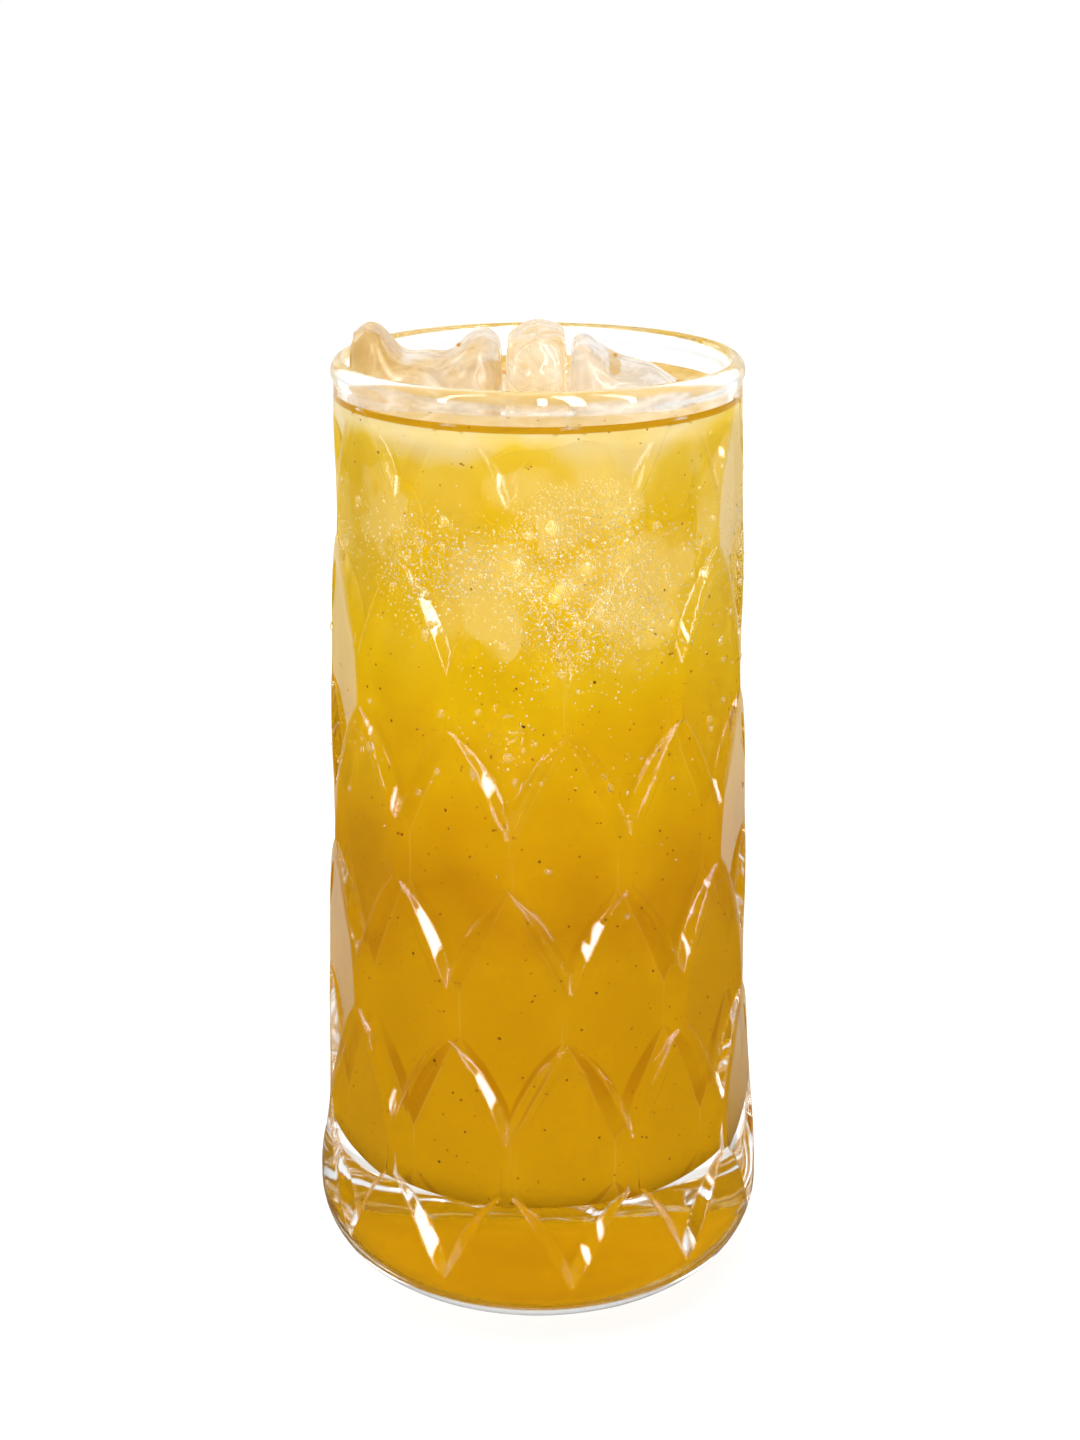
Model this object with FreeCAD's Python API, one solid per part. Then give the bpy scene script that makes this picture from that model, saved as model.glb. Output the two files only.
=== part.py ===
import FreeCAD, Part
import math
import os
from FreeCAD import Base

# Glass of mango iced tea: a tall pressed tumbler with a leaf-cut wall, the drink
# in it, and three pieces of melting ice that stand out of the drink.
# Millimetres. +Z is up, and the origin is the middle of the face that it rests on.

# ---- Tumbler: driving dimensions ----
GLASS_HEIGHT = 153.6
RIM_RADIUS = 32.0            # outside of the fire-polished bead
BEAD_BULGE = 0.3             # how far the bead stands out of the wall below it
BEAD_HEIGHT = 3.4
LIP_THICKNESS = 2.1
SHOULDER_RADIUS = 35.2       # the wall flares to this, straight, at SHOULDER_HEIGHT
SHOULDER_HEIGHT = 43.0
FOOT_RADIUS = 37.2           # widest, just above the heel
HEEL_RADIUS = 13.4
INNER_FLOOR_RADIUS = 28.4    # inner wall, carried straight down to the floor
FLOOR_THICKNESS = 20.0
FLOOR_CORNER_RADIUS = 6.0
FLOOR_SAG = 0.8              # the inner floor is this much lower in its middle
PUNT_RADIUS = 17.0           # shallow hollow under the base
PUNT_DEPTH = 1.6

# ---- Leaf cut: driving dimensions ----
LEAF_COUNT = 11              # leaves round the glass
LEAF_TURN = 0.3              # degrees, turn of the whole pattern
ROW_STAGGER = 0.25           # rows lie this share of a leaf to the right and left in turn
LOWEST_TIP = 8.8             # height of the lowest row's tips
LEAF_WIDTH = 18.7
RIDGE_WIDTH = 0.8            # least land left between two leaves
LEAF_POINT = 17.6            # height of the V at the lower tip
LEAF_SIDE = 7.65             # height of the upright sides
ARCH_RADIUS = 3.2            # rounding of the upper point
LEAF_DEPTH = 1.5             # deepest, under the lower tip
LEAF_DEEPEST = 8.0           # how far above the tip
GRIND_RADIUS = 350.0         # lengthwise curve of a leaf's face
HALF_LEAF_FADE = 12.0        # the top half leaves fade out this far above their tips
HALF_LEAF_DEPTH = 1.05
BEVEL_WIDTH = 2.9            # slope along the V, seen from the front
BEVEL_TIP = 3.6              # length of that slope at the tip
ARCH_BEVEL = 0.7
CUT_CLEARANCE = 0.5          # how far a cutter stands out of the wall

# ---- Drink and ice: driving dimensions ----
HEADSPACE = 6.5              # level of the drink below the rim
ICE_WALL_GAP = 0.8           # ice to glass
ICE_GAP = 0.5                # ice to ice
LEFT_ICE = dict(length=23.6, width=21.6, height=27.0, end_rise=4.8, far_rise=3.8,
                flat=0.25, crest=0.72, end_power=2.4, far_power=7.0)
MIDDLE_ICE = dict(length=9.4, width=20.0, height=26.0, end_rise=-1.6, far_rise=-0.8,
                  flat=0.0, crest=1.0, end_power=7.0, far_power=7.0)
RIGHT_ICE = dict(width=22.0, height=24.0, end_rise=4.6, far_rise=-4.0,
                 flat=0.0, crest=1.0, end_power=7.0, far_power=3.0)
LEFT_ICE_TOP = 0.5           # lowest place of its saddle, above the rim
MIDDLE_ICE_TOP = 5.2
RIGHT_ICE_TOP = -0.7         # at its middle; its top falls to the right
RIGHT_ICE_SHORE = 5.5        # open drink between its end and the glass
ICE_BACK = dict(left=-3.0, middle=-2.0, right=-3.0)   # how far behind the middle
ICE_STATIONS = 11            # sections along each block
ICE_SECTION_POINTS = 20
ICE_END = 0.985              # last section, as a share of half the length
ICE_TOP_POWER = 8.0          # how late a top rounds off to an end: 2 is an egg, 9 a brick
ICE_SIDE_POWER = 0.46        # squareness of a section: 1 is round, 0 is square

UP = Base.Vector(0, 0, 1)


def wall_radius(height):
    """Outside radius of the straight flare, without its bead and leaves."""
    share = (GLASS_HEIGHT - height) / (GLASS_HEIGHT - SHOULDER_HEIGHT)
    neck = RIM_RADIUS - BEAD_BULGE
    return neck + (SHOULDER_RADIUS - neck) * share


def bore_radius(height):
    """Inside radius: straight from the lip to where it would meet the floor."""
    lip = RIM_RADIUS - LIP_THICKNESS
    share = (GLASS_HEIGHT - height) / (GLASS_HEIGHT - FLOOR_THICKNESS)
    return lip + (INNER_FLOOR_RADIUS - lip) * share


def at(radius, height):
    return Base.Vector(radius, 0, height)


def revolve(edges):
    """Solid of revolution of a profile that starts and ends on the axis."""
    closing = Part.LineSegment(edges[-1].lastVertex(True).Point, edges[0].firstVertex(True).Point)
    face = Part.Face(Part.Wire(edges + [closing.toShape()]))
    return face.revolve(Base.Vector(0, 0, 0), UP, 360)


def line(start, end):
    return Part.LineSegment(start, end).toShape()


def arc(start, middle, end):
    return Part.Arc(start, middle, end).toShape()


def outer_body():
    """Outside of the tumbler: punt, heel, swelling foot, straight flare, bead."""
    foot_height = HEEL_RADIUS
    heel_centre = at(FOOT_RADIUS - HEEL_RADIUS, HEEL_RADIUS)
    diagonal = HEEL_RADIUS * math.sqrt(0.5)
    bottom_edge = at(FOOT_RADIUS - HEEL_RADIUS, 0)
    heel_middle = heel_centre + Base.Vector(diagonal, 0, -diagonal)
    foot = at(FOOT_RADIUS, foot_height)
    shoulder = at(SHOULDER_RADIUS, SHOULDER_HEIGHT)
    swell = (SHOULDER_HEIGHT - foot_height) / 3
    above_foot = foot + Base.Vector(0, 0, swell)
    below_shoulder = at(wall_radius(SHOULDER_HEIGHT - swell), SHOULDER_HEIGHT - swell)
    swelling = Part.BezierCurve()
    swelling.setPoles([foot, above_foot, below_shoulder, shoulder])
    neck_height = GLASS_HEIGHT - BEAD_HEIGHT
    neck = at(wall_radius(neck_height), neck_height)
    crest = at(RIM_RADIUS - LIP_THICKNESS / 2, GLASS_HEIGHT)
    bead = at(RIM_RADIUS, GLASS_HEIGHT - LIP_THICKNESS / 2)
    punt_edge = at(PUNT_RADIUS, 0)
    punt_middle = at(0, PUNT_DEPTH)
    punt_side = at(PUNT_RADIUS / 2, PUNT_DEPTH * 0.75)
    return revolve([
        arc(punt_middle, punt_side, punt_edge),
        line(punt_edge, bottom_edge),
        arc(bottom_edge, heel_middle, foot),
        swelling.toShape(),
        line(shoulder, neck),
        arc(neck, bead, crest),
        line(crest, at(0, GLASS_HEIGHT)),
    ])


def bore(top):
    """Solid that fills the tumbler from its floor to the given height."""
    corner_base = FLOOR_THICKNESS + FLOOR_CORNER_RADIUS
    corner_radius = bore_radius(corner_base)
    floor_edge = at(corner_radius - FLOOR_CORNER_RADIUS, FLOOR_THICKNESS)
    diagonal = FLOOR_CORNER_RADIUS * math.sqrt(0.5)
    corner_middle = floor_edge + Base.Vector(diagonal, 0, FLOOR_CORNER_RADIUS - diagonal)
    floor_middle = at(0, FLOOR_THICKNESS - FLOOR_SAG)
    floor_side = at(floor_edge.x / 2, FLOOR_THICKNESS - FLOOR_SAG * 0.75)
    wall_start = at(corner_radius, corner_base)
    return revolve([
        arc(floor_middle, floor_side, floor_edge),
        arc(floor_edge, corner_middle, wall_start),
        line(wall_start, at(bore_radius(top), top)),
        line(at(bore_radius(top), top), at(0, top)),
    ])


def lip_rounding():
    """Ring that is cut from the inner edge of the rim to round it."""
    half = LIP_THICKNESS / 2
    crest = at(RIM_RADIUS - half, GLASS_HEIGHT)
    inner = at(RIM_RADIUS - LIP_THICKNESS, GLASS_HEIGHT - half)
    shoulder = at(RIM_RADIUS - half - half * math.sqrt(0.5), GLASS_HEIGHT - half + half * math.sqrt(0.5))
    above = GLASS_HEIGHT + CUT_CLEARANCE
    inside = RIM_RADIUS - LIP_THICKNESS - CUT_CLEARANCE
    wire = Part.Wire([
        arc(crest, shoulder, inner),
        line(inner, at(inside, GLASS_HEIGHT - half)),
        line(at(inside, GLASS_HEIGHT - half), at(inside, above)),
        line(at(inside, above), at(RIM_RADIUS - half, above)),
        line(at(RIM_RADIUS - half, above), crest),
    ])
    return Part.Face(wire).revolve(Base.Vector(0, 0, 0), UP, 360)


def leaf_height(width):
    """From the lower tip to the rounded top of the arch."""
    lean = math.atan2(width / 2, LEAF_POINT)
    return 2 * LEAF_POINT + LEAF_SIDE - ARCH_RADIUS / math.sin(lean) + ARCH_RADIUS


def leaf_outline(width, depth, v_inset, arch_inset, v_bow):
    """Closed outline of a leaf in a plane that lies at a depth below the wall.

    Local axes: X across the leaf, -Y out of the glass, Z up from the lower tip.
    The insets shrink the outline, and v_bow bows the sides of the V outwards.
    """
    half = width / 2
    apex_height = 2 * LEAF_POINT + LEAF_SIDE
    lean = math.atan2(half, LEAF_POINT)
    cut_back = ARCH_RADIUS / math.tan(lean)
    apex = apex_height - arch_inset / math.sin(lean)
    tangent_half = cut_back * math.sin(lean)
    tangent_height = apex - cut_back * math.cos(lean)
    round_top = apex - ARCH_RADIUS / math.sin(lean) + ARCH_RADIUS
    tip = Base.Vector(0, depth, v_inset)
    lower = Base.Vector(half, depth, LEAF_POINT)
    upper = Base.Vector(half, depth, LEAF_POINT + LEAF_SIDE)
    tangent = Base.Vector(tangent_half, depth, tangent_height)
    top = Base.Vector(0, depth, round_top)
    bow = Base.Vector(-math.cos(lean), 0, math.sin(lean)) * v_bow
    v_middle = (tip + lower) * 0.5 + bow

    def mirrored(point):
        return Base.Vector(-point.x, point.y, point.z)

    def v_side(start, middle, end):
        return arc(start, middle, end) if v_bow else line(start, end)

    return Part.Wire([
        v_side(tip, v_middle, lower),
        line(lower, upper),
        line(upper, tangent),
        arc(tangent, top, mirrored(tangent)),
        line(mirrored(tangent), mirrored(upper)),
        line(mirrored(upper), mirrored(lower)),
        v_side(mirrored(lower), mirrored(v_middle), tip),
    ])


def leaf_cutter(width, depth, deepest, grind_radius):
    """Solid of what is pressed away for one leaf, in the leaf's own axes."""
    outside = leaf_outline(width, -CUT_CLEARANCE, 0, 0, 0)
    inside = leaf_outline(width, depth, BEVEL_TIP, ARCH_BEVEL, BEVEL_WIDTH / 2)
    block = Part.makeLoft([outside, inside], True, True)
    wheel = Part.makeCylinder(
        grind_radius, 3 * width,
        Base.Vector(-1.5 * width, depth - grind_radius, deepest), Base.Vector(1, 0, 0))
    return block.common(wheel)


def seated_cutter(cutter, tip_height, top_height):
    """Tilts the cutter to the slope of the wall and moves it out to the wall."""
    low_radius = outside_radius(tip_height)
    top_radius = outside_radius(top_height)
    tilt = math.degrees(math.atan2(low_radius - top_radius, top_height - tip_height))
    seated = cutter.copy()
    seated.rotate(Base.Vector(0, 0, 0), Base.Vector(1, 0, 0), -tilt)
    seated.translate(Base.Vector(0, -low_radius, tip_height))
    return seated


def outside_radius(height):
    """Outside radius anywhere on the wall, with the swelling foot."""
    if height >= SHOULDER_HEIGHT:
        return wall_radius(height)
    if height <= HEEL_RADIUS:
        return FOOT_RADIUS
    share = (SHOULDER_HEIGHT - height) / (SHOULDER_HEIGHT - HEEL_RADIUS)
    blend = share * share * (3 - 2 * share)
    return SHOULDER_RADIUS + (FOOT_RADIUS - SHOULDER_RADIUS) * blend


def leaf_cutters():
    """Every leaf of the wall: staggered rows of whole leaves from the foot up.

    The rows end under the bead, with a row of half leaves where they still fit.
    """
    cutters = []
    band = GLASS_HEIGHT - BEAD_HEIGHT
    row = 0
    tip_height = LOWEST_TIP
    while tip_height + HALF_LEAF_FADE < band:
        pitch = 2 * math.pi * outside_radius(tip_height + LEAF_POINT) / LEAF_COUNT
        width = min(LEAF_WIDTH, pitch - RIDGE_WIDTH)
        top_height = tip_height + leaf_height(width)
        if top_height < band:
            cutter = leaf_cutter(width, LEAF_DEPTH, LEAF_DEEPEST, GRIND_RADIUS)
        else:
            top_height = band
            fade_radius = HALF_LEAF_FADE ** 2 / (2 * HALF_LEAF_DEPTH)
            cutter = leaf_cutter(width, HALF_LEAF_DEPTH, 0, fade_radius)
        seated = seated_cutter(cutter, tip_height, top_height)
        side = ROW_STAGGER if row % 2 == 0 else -ROW_STAGGER
        for number in range(LEAF_COUNT):
            turned = seated.copy()
            turned.rotate(Base.Vector(0, 0, 0), UP, LEAF_TURN + (number + side) * 360 / LEAF_COUNT)
            cutters.append(turned)
        row += 1
        tip_height += LEAF_POINT + LEAF_SIDE
    return cutters


def melted_ice(length, width, height, end_rise, far_rise, flat, crest, end_power, far_power):
    """A melted block of ice along X, its saddle's lowest place at Z = 0.

    Rounded sections shrink towards both ends, later where an end's power is high.
    The top stays level up to the share flat of half the length, and has risen or
    fallen in full at the share crest.
    """
    sections = []
    for station in range(ICE_STATIONS):
        along = ICE_END * math.sin(math.pi * (station / (ICE_STATIONS - 1) - 0.5))
        plan_power = end_power if along < 0 else far_power
        shrink_side = (1 - abs(along) ** plan_power) ** (1 / plan_power)
        shrink_top = (1 - abs(along) ** ICE_TOP_POWER) ** (1 / ICE_TOP_POWER)
        rise = end_rise if along < 0 else far_rise
        climb = min(max((abs(along) - flat) / (crest - flat), 0.0), 1.0)
        top = rise * (3 * climb ** 2 - 2 * climb ** 3)
        middle = (top - height) / 2
        points = []
        for corner in range(ICE_SECTION_POINTS):
            turn = 2 * math.pi * (corner + 0.5) / ICE_SECTION_POINTS
            side = math.copysign(abs(math.cos(turn)) ** ICE_SIDE_POWER, math.cos(turn))
            upright = math.copysign(abs(math.sin(turn)) ** ICE_SIDE_POWER, math.sin(turn))
            points.append(Base.Vector(
                along * length / 2,
                side * shrink_side * width / 2,
                middle + upright * shrink_top * (top + height) / 2))
        ring = Part.BSplineCurve()
        ring.interpolate(Points=points, PeriodicFlag=True)
        sections.append(Part.Wire(ring.toShape()))
    return Part.makeLoft(sections, True, False)


def placed_ice(ice, middle_x, back, top_above_rim):
    ice.translate(Base.Vector(middle_x, back, GLASS_HEIGHT + top_above_rim))
    return ice


def ice_pieces():
    """Three blocks in a row across the mouth, fitted between its two sides."""
    level = GLASS_HEIGHT - HEADSPACE
    left_end = -(bore_radius(level) - ICE_WALL_GAP)
    left_middle = left_end + LEFT_ICE["length"] / 2
    middle_start = left_end + LEFT_ICE["length"] + ICE_GAP
    middle_middle = middle_start + MIDDLE_ICE["length"] / 2
    right_start = middle_start + MIDDLE_ICE["length"] + ICE_GAP
    right_end = bore_radius(level) - RIGHT_ICE_SHORE
    right_middle = (right_start + right_end) / 2
    right_length = right_end - right_start
    return {
        "ice_left": placed_ice(
            melted_ice(**LEFT_ICE), left_middle, ICE_BACK["left"], LEFT_ICE_TOP),
        "ice_middle": placed_ice(
            melted_ice(**MIDDLE_ICE), middle_middle, ICE_BACK["middle"], MIDDLE_ICE_TOP),
        "ice_right": placed_ice(
            melted_ice(length=right_length, **RIGHT_ICE), right_middle, ICE_BACK["right"],
            RIGHT_ICE_TOP),
    }


def tumbler():
    body = outer_body().cut(leaf_cutters())
    return body.cut([bore(GLASS_HEIGHT + CUT_CLEARANCE), lip_rounding()])


def drink(ice):
    return bore(GLASS_HEIGHT - HEADSPACE).cut(list(ice.values()))


def main():
    nodes = ice_pieces()
    nodes["drink"] = drink(nodes)
    nodes["glass"] = tumbler()
    os.makedirs("parts", exist_ok=True)
    for name, shape in nodes.items():
        solid = shape.Solids[0] if len(shape.Solids) == 1 else shape
        solid.exportStep(os.path.join("parts", name + ".step"))
        box = solid.BoundBox
        print(name, "solids", len(shape.Solids), "faces", len(solid.Faces), "valid", solid.isValid(),
              "volume %.1f" % solid.Volume,
              "box %.2f %.2f %.2f / %.2f %.2f %.2f" % (
                  box.XMin, box.YMin, box.ZMin, box.XMax, box.YMax, box.ZMax))


main()
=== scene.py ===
import math
import random

import bmesh
import bpy
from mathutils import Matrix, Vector, noise


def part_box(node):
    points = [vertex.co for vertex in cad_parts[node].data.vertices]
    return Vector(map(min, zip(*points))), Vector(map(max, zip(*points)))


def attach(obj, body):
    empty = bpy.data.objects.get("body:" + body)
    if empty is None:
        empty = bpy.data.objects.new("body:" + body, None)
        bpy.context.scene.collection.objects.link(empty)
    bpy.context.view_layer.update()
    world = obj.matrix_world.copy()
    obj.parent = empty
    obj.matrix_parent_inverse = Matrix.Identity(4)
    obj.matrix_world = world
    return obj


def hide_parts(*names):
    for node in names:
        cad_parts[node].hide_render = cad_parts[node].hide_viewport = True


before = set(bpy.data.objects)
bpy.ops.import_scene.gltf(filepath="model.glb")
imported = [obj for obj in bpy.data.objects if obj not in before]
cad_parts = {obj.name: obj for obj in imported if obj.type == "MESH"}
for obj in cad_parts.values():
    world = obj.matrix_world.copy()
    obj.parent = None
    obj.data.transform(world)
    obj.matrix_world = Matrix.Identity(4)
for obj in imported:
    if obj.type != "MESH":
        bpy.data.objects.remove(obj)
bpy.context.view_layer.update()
scene = bpy.context.scene
scene.view_settings.view_transform = "Standard"
scene.cycles.max_bounces = 24
scene.cycles.transmission_bounces = 24
scene.cycles.glossy_bounces = 24
scene.cycles.transparent_max_bounces = 24


# ---------------------------------------------------------------------------
# Room: a pale table top that runs off into white, and soft lamps round it.
# The camera looks down a little over the rim, as someone at the table does.
# ---------------------------------------------------------------------------
rim_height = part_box("glass")[1].z
foot_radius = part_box("glass")[1].x
rim_radius = 0.032

look_down = 18.26
eye_aside = 0.00033
eye_away = 12.0 * rim_radius
eye_above_rim = 2.09 * rim_radius
camera_data = bpy.data.cameras.new("Camera")
camera_data.lens = 62.1
camera = bpy.data.objects.new("Camera", camera_data)
scene.collection.objects.link(camera)
camera.location = (eye_aside, -eye_away, rim_height + eye_above_rim)
camera.rotation_euler = (math.radians(90 - look_down), 0, 0)
scene.camera = camera


class Sock:
    """One output socket of a shader tree, with the sums that the materials use."""

    def __init__(self, tree, socket):
        self.tree = tree
        self.socket = socket

    def math(self, operation, *values):
        return node(self.tree, "ShaderNodeMath", {"operation": operation}, dict(enumerate(values)))

    def __add__(self, other):
        return self.math("ADD", self, other)

    __radd__ = __add__

    def __sub__(self, other):
        return self.math("SUBTRACT", self, other)

    def __rsub__(self, other):
        return self.math("SUBTRACT", other, self)

    def __mul__(self, other):
        return self.math("MULTIPLY", self, other)

    __rmul__ = __mul__

    def __truediv__(self, other):
        return self.math("DIVIDE", self, other)

    def __pow__(self, other):
        return self.math("POWER", self, other)


def node(tree, kind, settings=None, inputs=None, output=0):
    """Adds a node: first its settings, then the values or links of its sockets."""
    made = tree.nodes.new(kind)
    for name, value in (settings or {}).items():
        if name == "stops":
            ramp = made.color_ramp.elements
            while len(ramp) < len(value):
                ramp.new(0.5)
            for stop, (place, colour) in zip(ramp, value):
                stop.position = place
                stop.color = (*colour, 1.0)
        else:
            setattr(made, name, value)
    for name, value in (inputs or {}).items():
        socket = made.inputs[name]
        if isinstance(value, Sock):
            tree.links.new(value.socket, socket)
        elif socket.type == "RGBA" and len(value) == 3:
            socket.default_value = (*value, 1.0)
        else:
            socket.default_value = value
    return Sock(tree, made.outputs[output]) if made.outputs else None


def new_material(name):
    material = bpy.data.materials.new(name)
    material.use_nodes = True
    tree = material.node_tree
    tree.nodes.clear()
    return material, tree


def finish_material(tree, surface):
    node(tree, "ShaderNodeOutputMaterial", None, {"Surface": surface})


def object_place(tree):
    return node(tree, "ShaderNodeTexCoord", output=3)


def split(tree, vector, axis):
    return node(tree, "ShaderNodeSeparateXYZ", None, {0: vector}, output=axis)


def smooth_step(tree, value, low, high):
    return node(tree, "ShaderNodeMapRange", {"interpolation_type": "SMOOTHSTEP"},
                {"Value": value, "From Min": low, "From Max": high})


def measure(tree, operation, first, second=None):
    """One number from one or two vectors: a length, a distance or a dot product."""
    inputs = {0: first} if second is None else {0: first, 1: second}
    return node(tree, "ShaderNodeVectorMath", {"operation": operation}, inputs, output="Value")


def blend(tree, share, low, high, blend_type="MIX"):
    """Mixes two colours."""
    return node(tree, "ShaderNodeMix", {"data_type": "RGBA", "blend_type": blend_type},
                {0: share, 6: low, 7: high}, output=2)


def mesh_object(name, builder):
    """Ends a mesh that was built point by point, and puts it in the scene."""
    mesh = bpy.data.meshes.new(name)
    builder.to_mesh(mesh)
    builder.free()
    made = bpy.data.objects.new(name, mesh)
    scene.collection.objects.link(made)
    return made


world = bpy.data.worlds.new("World")
scene.world = world
world.use_nodes = True
world.node_tree.nodes.clear()
air = world.node_tree
mirrored = node(air, "ShaderNodeLightPath", output="Is Reflection Ray")
scattered = node(air, "ShaderNodeLightPath", output="Diffuse Depth")
sky_way = node(air, "ShaderNodeTexCoord", output="Generated")
sky_up = split(air, sky_way, "Z")
sky_back = split(air, sky_way, "Y")
sky_side = split(air, sky_way, "X")
sky_light = node(air, "ShaderNodeBackground", None, {
    "Color": (1.0, 1.0, 1.0),
    "Strength": 1.15 + 0.2 * smooth_step(air, sky_up, 0.1, 0.9) - 0.22 * sky_side})
sky_mirror = node(air, "ShaderNodeBackground", None, {
    "Color": (1.0, 1.0, 1.0), "Strength": 0.04 + 0.9 * sky_back.math(
        "MAXIMUM", smooth_step(air, sky_back, 0.35, 0.95), smooth_step(air, sky_up, 0.40, 0.75))})
sky_white = node(air, "ShaderNodeBackground", None, {"Color": (1.0, 1.0, 1.0), "Strength": 1.0})
sky_clear = node(air, "ShaderNodeMixShader", None, {0: mirrored, 1: sky_white, 2: sky_mirror})
sky = node(air, "ShaderNodeMixShader", None, {
    0: scattered.math("GREATER_THAN", scattered, 0.5), 1: sky_clear, 2: sky_light})
node(air, "ShaderNodeOutputWorld", None, {"Surface": sky})

table_drop = 0.0002
table_builder = bmesh.new()
bmesh.ops.create_circle(table_builder, cap_ends=True, segments=96, radius=3.0)
table = mesh_object("Table", table_builder)
for corner in table.data.vertices:
    corner.co.z = -table_drop
table_material, table_tree = new_material("PaleTable")
table_grain = node(table_tree, "ShaderNodeTexNoise", None, {
    "Vector": object_place(table_tree), "Scale": 40.0, "Detail": 3.0})
table_colour = blend(table_tree, table_grain, (0.39, 0.39, 0.39), (0.42, 0.42, 0.42))
table_top = node(table_tree, "ShaderNodeBsdfPrincipled", None, {
    "Base Color": table_colour, "Roughness": 0.7, "Specular IOR Level": 0.0})
# The white glow is weaker close to the foot: a painted shadow round it, on top of the real one.
table_reach = measure(table_tree, "LENGTH", object_place(table_tree))
table_glow_and_painted_shadow = node(table_tree, "ShaderNodeEmission", None, {
    "Color": (1.0, 1.0, 1.0), "Strength": 0.61 + 0.16 * smooth_step(table_tree, table_reach, 0.037, 0.065)})
table_sum = node(table_tree, "ShaderNodeAddShader", None, {0: table_top, 1: table_glow_and_painted_shadow})
table_seen = node(table_tree, "ShaderNodeLightPath", output="Is Camera Ray")
table_through = node(table_tree, "ShaderNodeLightPath", output="Is Transmission Ray")
table_unlit = node(table_tree, "ShaderNodeLightPath", output="Diffuse Depth")
table_fresh = table_unlit.math("LESS_THAN", table_unlit, 0.5)
table_bounced = node(table_tree, "ShaderNodeLightPath", output="Is Reflection Ray")
table_mirrored = table_bounced * table_fresh
table_white = table_seen.math("MAXIMUM", table_seen, table_through) * table_fresh
table_way = node(table_tree, "ShaderNodeVectorMath", {"operation": "NORMALIZE"}, {
    0: object_place(table_tree)})
table_back = smooth_step(table_tree, split(table_tree, table_way, "Y"), 0.35, 0.95)
table_dim = node(table_tree, "ShaderNodeEmission", None, {
    "Color": (1.0, 0.94, 0.80), "Strength": 0.05 + 0.75 * table_back})
table_plain = node(table_tree, "ShaderNodeMixShader", None, {0: table_white, 1: table_top, 2: table_sum})
finish_material(table_tree, node(table_tree, "ShaderNodeMixShader", None, {
    0: table_mirrored, 1: table_plain, 2: table_dim}))
table.data.materials.append(table_material)


def soft_lamp(name, azimuth, height, width, tall, power, distance=0.8, shines=True, glints=True):
    """A soft box round the glass; one that doesn't shine only glints in the polished wall."""
    data = bpy.data.lights.new(name, "AREA")
    data.shape = "RECTANGLE"
    data.size = width
    data.size_y = tall
    data.energy = power
    lamp = bpy.data.objects.new(name, data)
    lamp.visible_diffuse = shines
    lamp.visible_transmission = shines
    lamp.visible_glossy = glints
    scene.collection.objects.link(lamp)
    turn = math.radians(azimuth)
    lamp.location = (distance * math.sin(turn), -distance * math.cos(turn), height)
    facing = Vector((0, 0, rim_height / 2)) - lamp.location
    lamp.rotation_euler = facing.to_track_quat("-Z", "Y").to_euler()


soft_lamp("StripRight", 21, 0.60, 0.15, 1.30, 14.5, shines=False)
soft_lamp("StripFarRight", 52, 0.60, 0.07, 1.30, 6.8, shines=False)
soft_lamp("StripMiddle", 3, 0.50, 0.06, 0.80, 3.8, shines=False)
soft_lamp("StripFarLeft", -52, 0.60, 0.06, 1.30, 5.8, shines=False)
soft_lamp("FillLeft", -72, 0.30, 0.40, 0.40, 0.45, glints=False)
soft_lamp("BackRight", 140, 0.40, 0.20, 0.30, 0.55)
soft_lamp("BackLeft", -140, 0.40, 0.20, 0.30, 0.60)
soft_lamp("Overhead", 0, 0.95, 0.35, 0.35, 0.8, distance=0.1)


# ---------------------------------------------------------------------------
# Tumbler: clear pressed soda glass with its leaf cut, straight from the frame.
# Lamps reach the drink through the wall as they do through the real one.
# ---------------------------------------------------------------------------
cold_spot_radius = 0.035
cold_spots = [
    (12, 0.126, 0.020, 1.6),
    (-32, 0.128, 0.013, 1.2),
    (-8, 0.100, 0.010, 0.5),
    (100, 0.120, 0.020, 1.2),
    (175, 0.125, 0.022, 1.4),
    (-110, 0.126, 0.018, 1.2),
]


def cold_cover(tree, place, inner, outer):
    """How much the coldest spots of the wall draw dew, each fading between two shares of its spread."""
    cover = 0.0
    for azimuth, centre, spread, strength in cold_spots:
        turn = math.radians(azimuth)
        spot = (math.sin(turn) * cold_spot_radius, -math.cos(turn) * cold_spot_radius, centre)
        away = measure(tree, "DISTANCE", place, spot)
        cover = cover + strength * (1 - smooth_step(tree, away, spread * inner, spread * outer))
    return cover


def dew_relief(tree, place):
    """The finest dew, too small to model: domes crowded on the wall round the coldest spots."""
    cover = cold_cover(tree, place, 0.35, 1.1)
    drift = node(tree, "ShaderNodeTexNoise", None, {"Vector": place, "Scale": 140.0, "Detail": 3.0})
    cells = node(tree, "ShaderNodeTexVoronoi", None, {"Vector": place, "Scale": 2600.0, "Randomness": 1.0})
    domes = 1 - smooth_step(tree, cells, 0.10, 0.48)
    return domes * smooth_step(tree, cover * (0.2 + 1.6 * drift), 0.35, 1.15)


def dew_veil(tree, clear):
    """Where dew crowds the wall it whitens the glass a little."""
    white = node(tree, "ShaderNodeBsdfPrincipled", None, {
        "Base Color": (1.0, 0.95, 0.74), "Roughness": 0.5, "Specular IOR Level": 0.0})
    return node(tree, "ShaderNodeMixShader", None, {
        0: dew_relief(tree, object_place(tree)) * 0.42, 1: clear, 2: white})


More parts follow.
